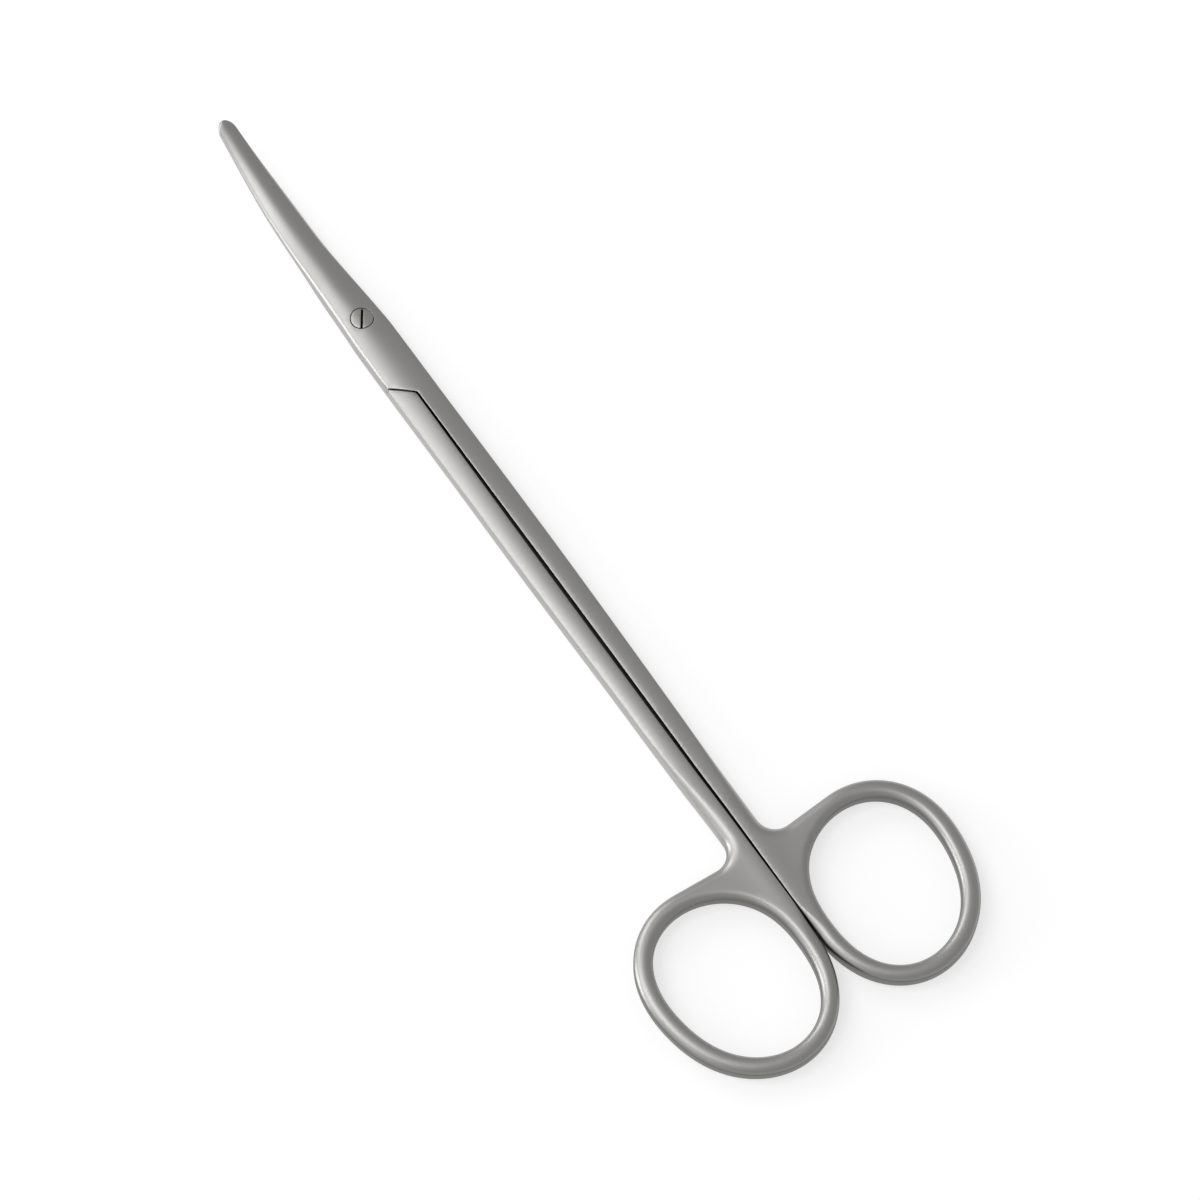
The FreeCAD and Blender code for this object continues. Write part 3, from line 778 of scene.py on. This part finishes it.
def makeScrew(name):
    edge = (screw["rimBreak"], screw["rimBreak"], 2.0)
    head = roundHole(screw["headRadius"], edge, screw["headCorners"])[::-1]
    stemRadius = screw["stemRadius"] - screw["play"]
    stem = roundHole(stemRadius, edge, screw["stemCorners"])[::-1]
    turn = screw["slotTurn"] + math.pi / 2
    along = np.array([math.cos(turn), math.sin(turn)])
    across = np.array([-along[1], along[0]])
    half = screw["slotWidth"] / 2
    reach = screw["headRadius"] + screw["slotOver"]
    ends = spaced(-reach, reach, sampling["slot"])
    right = np.array([tuple(along * t - across * half) + fineEdge for t in ends])
    left = np.array([tuple(along * t + across * half) + fineEdge for t in ends[::-1]])
    box = ((-reach, -reach), (reach, reach))
    lines = [right[::-1], left[::-1], np.vstack([stem, stem[:1]])]
    plan, corners = planOf([head], lines, box, sampling["screwGrid"])
    middles = plan[corners].mean(axis=1)
    slotted = (np.abs(middles @ across) < half).astype(int)
    stemmed = (np.hypot(middles[:, 0], middles[:, 1]) < stemRadius * screw["within"]).astype(int)
    topEdges = EdgeSet([(head, True), (right, False), (left, False)])
    bottomEdges = EdgeSet([(stem, True)])

    def top(points, zone):
        if zone == 1:
            return np.full(len(points), blade["rootThickness"] - screw["slotDepth"])
        return outerHeight(points, 1) - topEdges.drop(points)

    def bottom(points, zone):
        if zone == 1:
            return bottomEdges.drop(points) - outerHeight(points, 1)
        rim = blade["rootThickness"] - screw["headRim"]
        return rim - (screw["headRadius"] - np.hypot(points[:, 0], points[:, 1]))

    vertices, faces = plateSolid(plan, corners, slotted, stemmed, top, bottom)
    piece = meshPiece(name, vertices, faces, 1)
    print("made", name, len(vertices), "vertices", len(faces), "faces")
    return piece


# Finishes

# A share that goes smoothly from 0 at the start to 1 at the end.
def rampOf(nodes, links, source, start, end):
    step = nodes.new("ShaderNodeMapRange")
    step.interpolation_type = "SMOOTHSTEP"
    step.inputs["From Min"].default_value = start
    step.inputs["From Max"].default_value = end
    links.new(source, step.inputs["Value"])
    return step.outputs["Result"]


def mathNode(nodes, links, operation, sources):
    node = nodes.new("ShaderNodeMath")
    node.operation = operation
    for index, source in enumerate(sources):
        if isinstance(source, float):
            node.inputs[index].default_value = source
        else:
            links.new(source, node.inputs[index])
    return node.outputs[0]


# The shader's colour goes from the first to the second with the share.
def blendColour(nodes, links, share, first, second, shader):
    mix = nodes.new("ShaderNodeMix")
    mix.data_type = "RGBA"
    colours = [socket for socket in mix.inputs if socket.type == "RGBA"]
    colours[0].default_value = first + (1.0,)
    colours[1].default_value = second + (1.0,)
    links.new(share, mix.inputs[0])
    blended = [socket for socket in mix.outputs if socket.type == "RGBA"][0]
    links.new(blended, shader.inputs["Base Color"])


# Painted shade: the rings' upright sides are painted darker than their faces, in place of the shade
# that they would reflect from the floor beside them.
def paintSideShade(nodes, links, place, look, shader):
    apart = nodes.new("ShaderNodeSeparateXYZ")
    links.new(place.outputs["Normal"], apart.inputs["Vector"])
    height = mathNode(nodes, links, "ABSOLUTE", [apart.outputs["Z"]])
    where = nodes.new("ShaderNodeSeparateXYZ")
    links.new(place.outputs["Object"], where.inputs["Vector"])
    sideStart = pivot.y + look["sideStart"] * mm
    sideFull = pivot.y + look["sideFull"] * mm
    upright = rampOf(nodes, links, height, look["faceHeight"], look["sideHeight"])
    atRings = rampOf(nodes, links, where.outputs["Y"], sideStart, sideFull)
    share = mathNode(nodes, links, "MULTIPLY", [upright, atRings])
    blendColour(nodes, links, share, look["colour"], look["sideShadeColour"], shader)


# Painted shade: walls that face each other closely are painted dark, and turn to plain steel when they
# stand open.
def paintNarrowShade(nodes, links, look, shader):
    around = nodes.new("ShaderNodeAmbientOcclusion")
    around.inputs["Distance"].default_value = look["reach"] * mm
    share = rampOf(nodes, links, around.outputs["AO"], look["closed"], look["open"])
    blendColour(nodes, links, share, look["colour"], look["openColour"], shader)


grain = {
    "scale": 9000.0,
    "detail": 3.0,
    "roughSpread": 0.04,
    "bump": 0.3,
    "depth": 0.01,
}


def satinSteel(name, look):
    material = bpy.data.materials.new(name)
    material.use_nodes = True
    nodes, links = material.node_tree.nodes, material.node_tree.links
    shader = nodes["Principled BSDF"]
    shader.inputs["Metallic"].default_value = 1.0
    shader.inputs["Base Color"].default_value = look["colour"] + (1.0,)
    place = nodes.new("ShaderNodeTexCoord")
    # painted shade on the rings' upright sides
    if "sideShadeColour" in look:
        paintSideShade(nodes, links, place, look, shader)
    if "openColour" in look:
        paintNarrowShade(nodes, links, look, shader)
    noise = nodes.new("ShaderNodeTexNoise")
    noise.inputs["Scale"].default_value = grain["scale"]
    noise.inputs["Detail"].default_value = grain["detail"]
    links.new(place.outputs["Object"], noise.inputs["Vector"])
    spread = nodes.new("ShaderNodeMapRange")
    spread.inputs["To Min"].default_value = look["roughness"] - grain["roughSpread"]
    spread.inputs["To Max"].default_value = look["roughness"] + grain["roughSpread"]
    links.new(noise.outputs["Fac"], spread.inputs["Value"])
    links.new(spread.outputs["Result"], shader.inputs["Roughness"])
    bump = nodes.new("ShaderNodeBump")
    bump.inputs["Strength"].default_value = grain["bump"]
    bump.inputs["Distance"].default_value = grain["depth"] * mm
    links.new(noise.outputs["Fac"], bump.inputs["Height"])
    links.new(bump.outputs["Normal"], shader.inputs["Normal"])
    return material


steelLook = {
    "colour": (0.437, 0.431, 0.419),
    "roughness": 0.4,
    # painted shade for the rings' upright sides
    "sideShadeColour": (0.165, 0.163, 0.159),
    "faceHeight": 0.75,       # how far the normal rises on a face and on an upright side
    "sideHeight": 0.35,
    "sideStart": -102.0,
    "sideFull": -109.0,
}
screwLook = {
    "colour": (0.43, 0.422, 0.4),
    "roughness": 0.38,
}
# painted shade for narrow gaps and the slot's floor, lifted to steel where the walls stand open
gapShadeLook = {
    "colour": (0.01, 0.01, 0.01),
    "roughness": 0.6,
    "openColour": (0.3, 0.296, 0.288),
    "reach": 1.0,             # how far off another wall still counts
    "closed": 0.6,            # the share of open space at which a wall begins to turn to steel
    "open": 0.9,
}
satin = satinSteel("satinSteel", steelLook)
screwSatin = satinSteel("screwSteel", screwLook)
paintedGapShade = satinSteel("paintedGapShade", gapShadeLook)
print("made the finishes")

for name, side, body in (("upperHalf", upperSide, "upper"), ("lowerHalf", lowerSide, "lower")):
    half = makeHalf(name, side)
    half.data.materials.append(satin)
    half.data.materials.append(paintedGapShade)
    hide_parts(body + "_half")
    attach(half, body)

pivotScrew = makeScrew("pivotScrew")
pivotScrew.data.materials.append(screwSatin)
pivotScrew.data.materials.append(paintedGapShade)
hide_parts("pivot_screw")
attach(pivotScrew, "lower")


# Table, camera and light

table = {
    "colour": (0.5, 0.5, 0.5),
    "size": 3.0,
    "roughness": 0.9,
    "glow": 0.62,             # seen by the camera and in reflections only
}


def makeTable():
    half = table["size"] / 2
    mesh = bpy.data.meshes.new("table")
    corners = [(-half, -half, 0), (half, -half, 0), (half, half, 0), (-half, half, 0)]
    mesh.from_pydata(corners, [], [(0, 1, 2, 3)])
    piece = bpy.data.objects.new("table", mesh)
    bpy.context.scene.collection.objects.link(piece)
    material = bpy.data.materials.new("paleTable")
    material.use_nodes = True
    nodes, links = material.node_tree.nodes, material.node_tree.links
    shader = nodes["Principled BSDF"]
    shader.inputs["Base Color"].default_value = table["colour"] + (1.0,)
    shader.inputs["Roughness"].default_value = table["roughness"]
    shader.inputs["Specular IOR Level"].default_value = 0.0
    path = nodes.new("ShaderNodeLightPath")
    rays = [path.outputs["Is Camera Ray"], path.outputs["Is Glossy Ray"]]
    seen = mathNode(nodes, links, "MAXIMUM", rays)
    through = mathNode(nodes, links, "MAXIMUM", [seen, path.outputs["Is Transmission Ray"]])
    glow = mathNode(nodes, links, "MULTIPLY", [through, table["glow"]])
    shader.inputs["Emission Color"].default_value = (1.0, 1.0, 1.0, 1.0)
    links.new(glow, shader.inputs["Emission Strength"])
    piece.data.materials.append(material)
    print("made the table")


makeTable()

camera = {
    "lookAt": (4.23, -11.99, 2.0),   # millimetres in the frame
    "distance": 573.4,
    "tilt": 23.78,
    "heading": -34.21,
    "lens": 111.69,
    "sensor": 36.0,
}


def makeCamera():
    data = bpy.data.cameras.new("camera")
    data.sensor_width = camera["sensor"]
    data.lens = camera["lens"]
    data.clip_start = 0.01
    piece = bpy.data.objects.new("camera", data)
    bpy.context.scene.collection.objects.link(piece)
    tilt, heading = math.radians(camera["tilt"]), math.radians(camera["heading"])
    piece.rotation_euler = (tilt, 0.0, heading)
    level = math.sin(tilt)
    back = Vector((level * math.sin(heading), -level * math.cos(heading), math.cos(tilt)))
    piece.location = (Vector(camera["lookAt"]) + back * camera["distance"]) * mm
    bpy.context.scene.camera = piece
    print("made the camera")


makeCamera()

# Each lamp stands the way that its direction says, as seen in the photograph: right, up, high.
lampFar = 1.2
lampSize = 0.6
lampList = [
    {"name": "lowLeft", "direction": (-0.97, 0.0, 0.26), "power": 3.8},
    {"name": "upperLeft", "direction": (-0.58, 0.58, 0.57), "power": 2.55},
    {"name": "highLeft", "direction": (-0.57, 0.0, 0.82), "power": 1.6},
    {"name": "topLeft", "direction": (-0.31, 0.0, 0.95), "power": 1.7},
    {"name": "lowerLeft", "direction": (-0.54, -0.54, 0.64), "power": 0.6},
]


def makeLamp(lamp):
    heading = math.radians(camera["heading"])
    right = Vector((math.cos(heading), math.sin(heading), 0))
    up = Vector((-math.sin(heading), math.cos(heading), 0))
    acrossShare, upShare, high = lamp["direction"]
    direction = right * acrossShare + up * upShare + Vector((0, 0, high))
    direction.normalize()
    data = bpy.data.lights.new(lamp["name"], "AREA")
    data.shape = "DISK"
    data.size = lampSize
    data.energy = lamp["power"]
    piece = bpy.data.objects.new(lamp["name"], data)
    bpy.context.scene.collection.objects.link(piece)
    piece.location = Vector(camera["lookAt"]) * mm + direction * lampFar
    piece.rotation_euler = direction.to_track_quat("Z", "Y").to_euler()


for lamp in lampList:
    makeLamp(lamp)
print("made", len(lampList), "lamps")

surroundings = (0.435, 0.435, 0.435)
world = bpy.data.worlds.new("studio")
world.use_nodes = True
world.node_tree.nodes["Background"].inputs["Color"].default_value = surroundings + (1.0,)
bpy.context.scene.world = world
bpy.context.scene.view_settings.view_transform = "Standard"
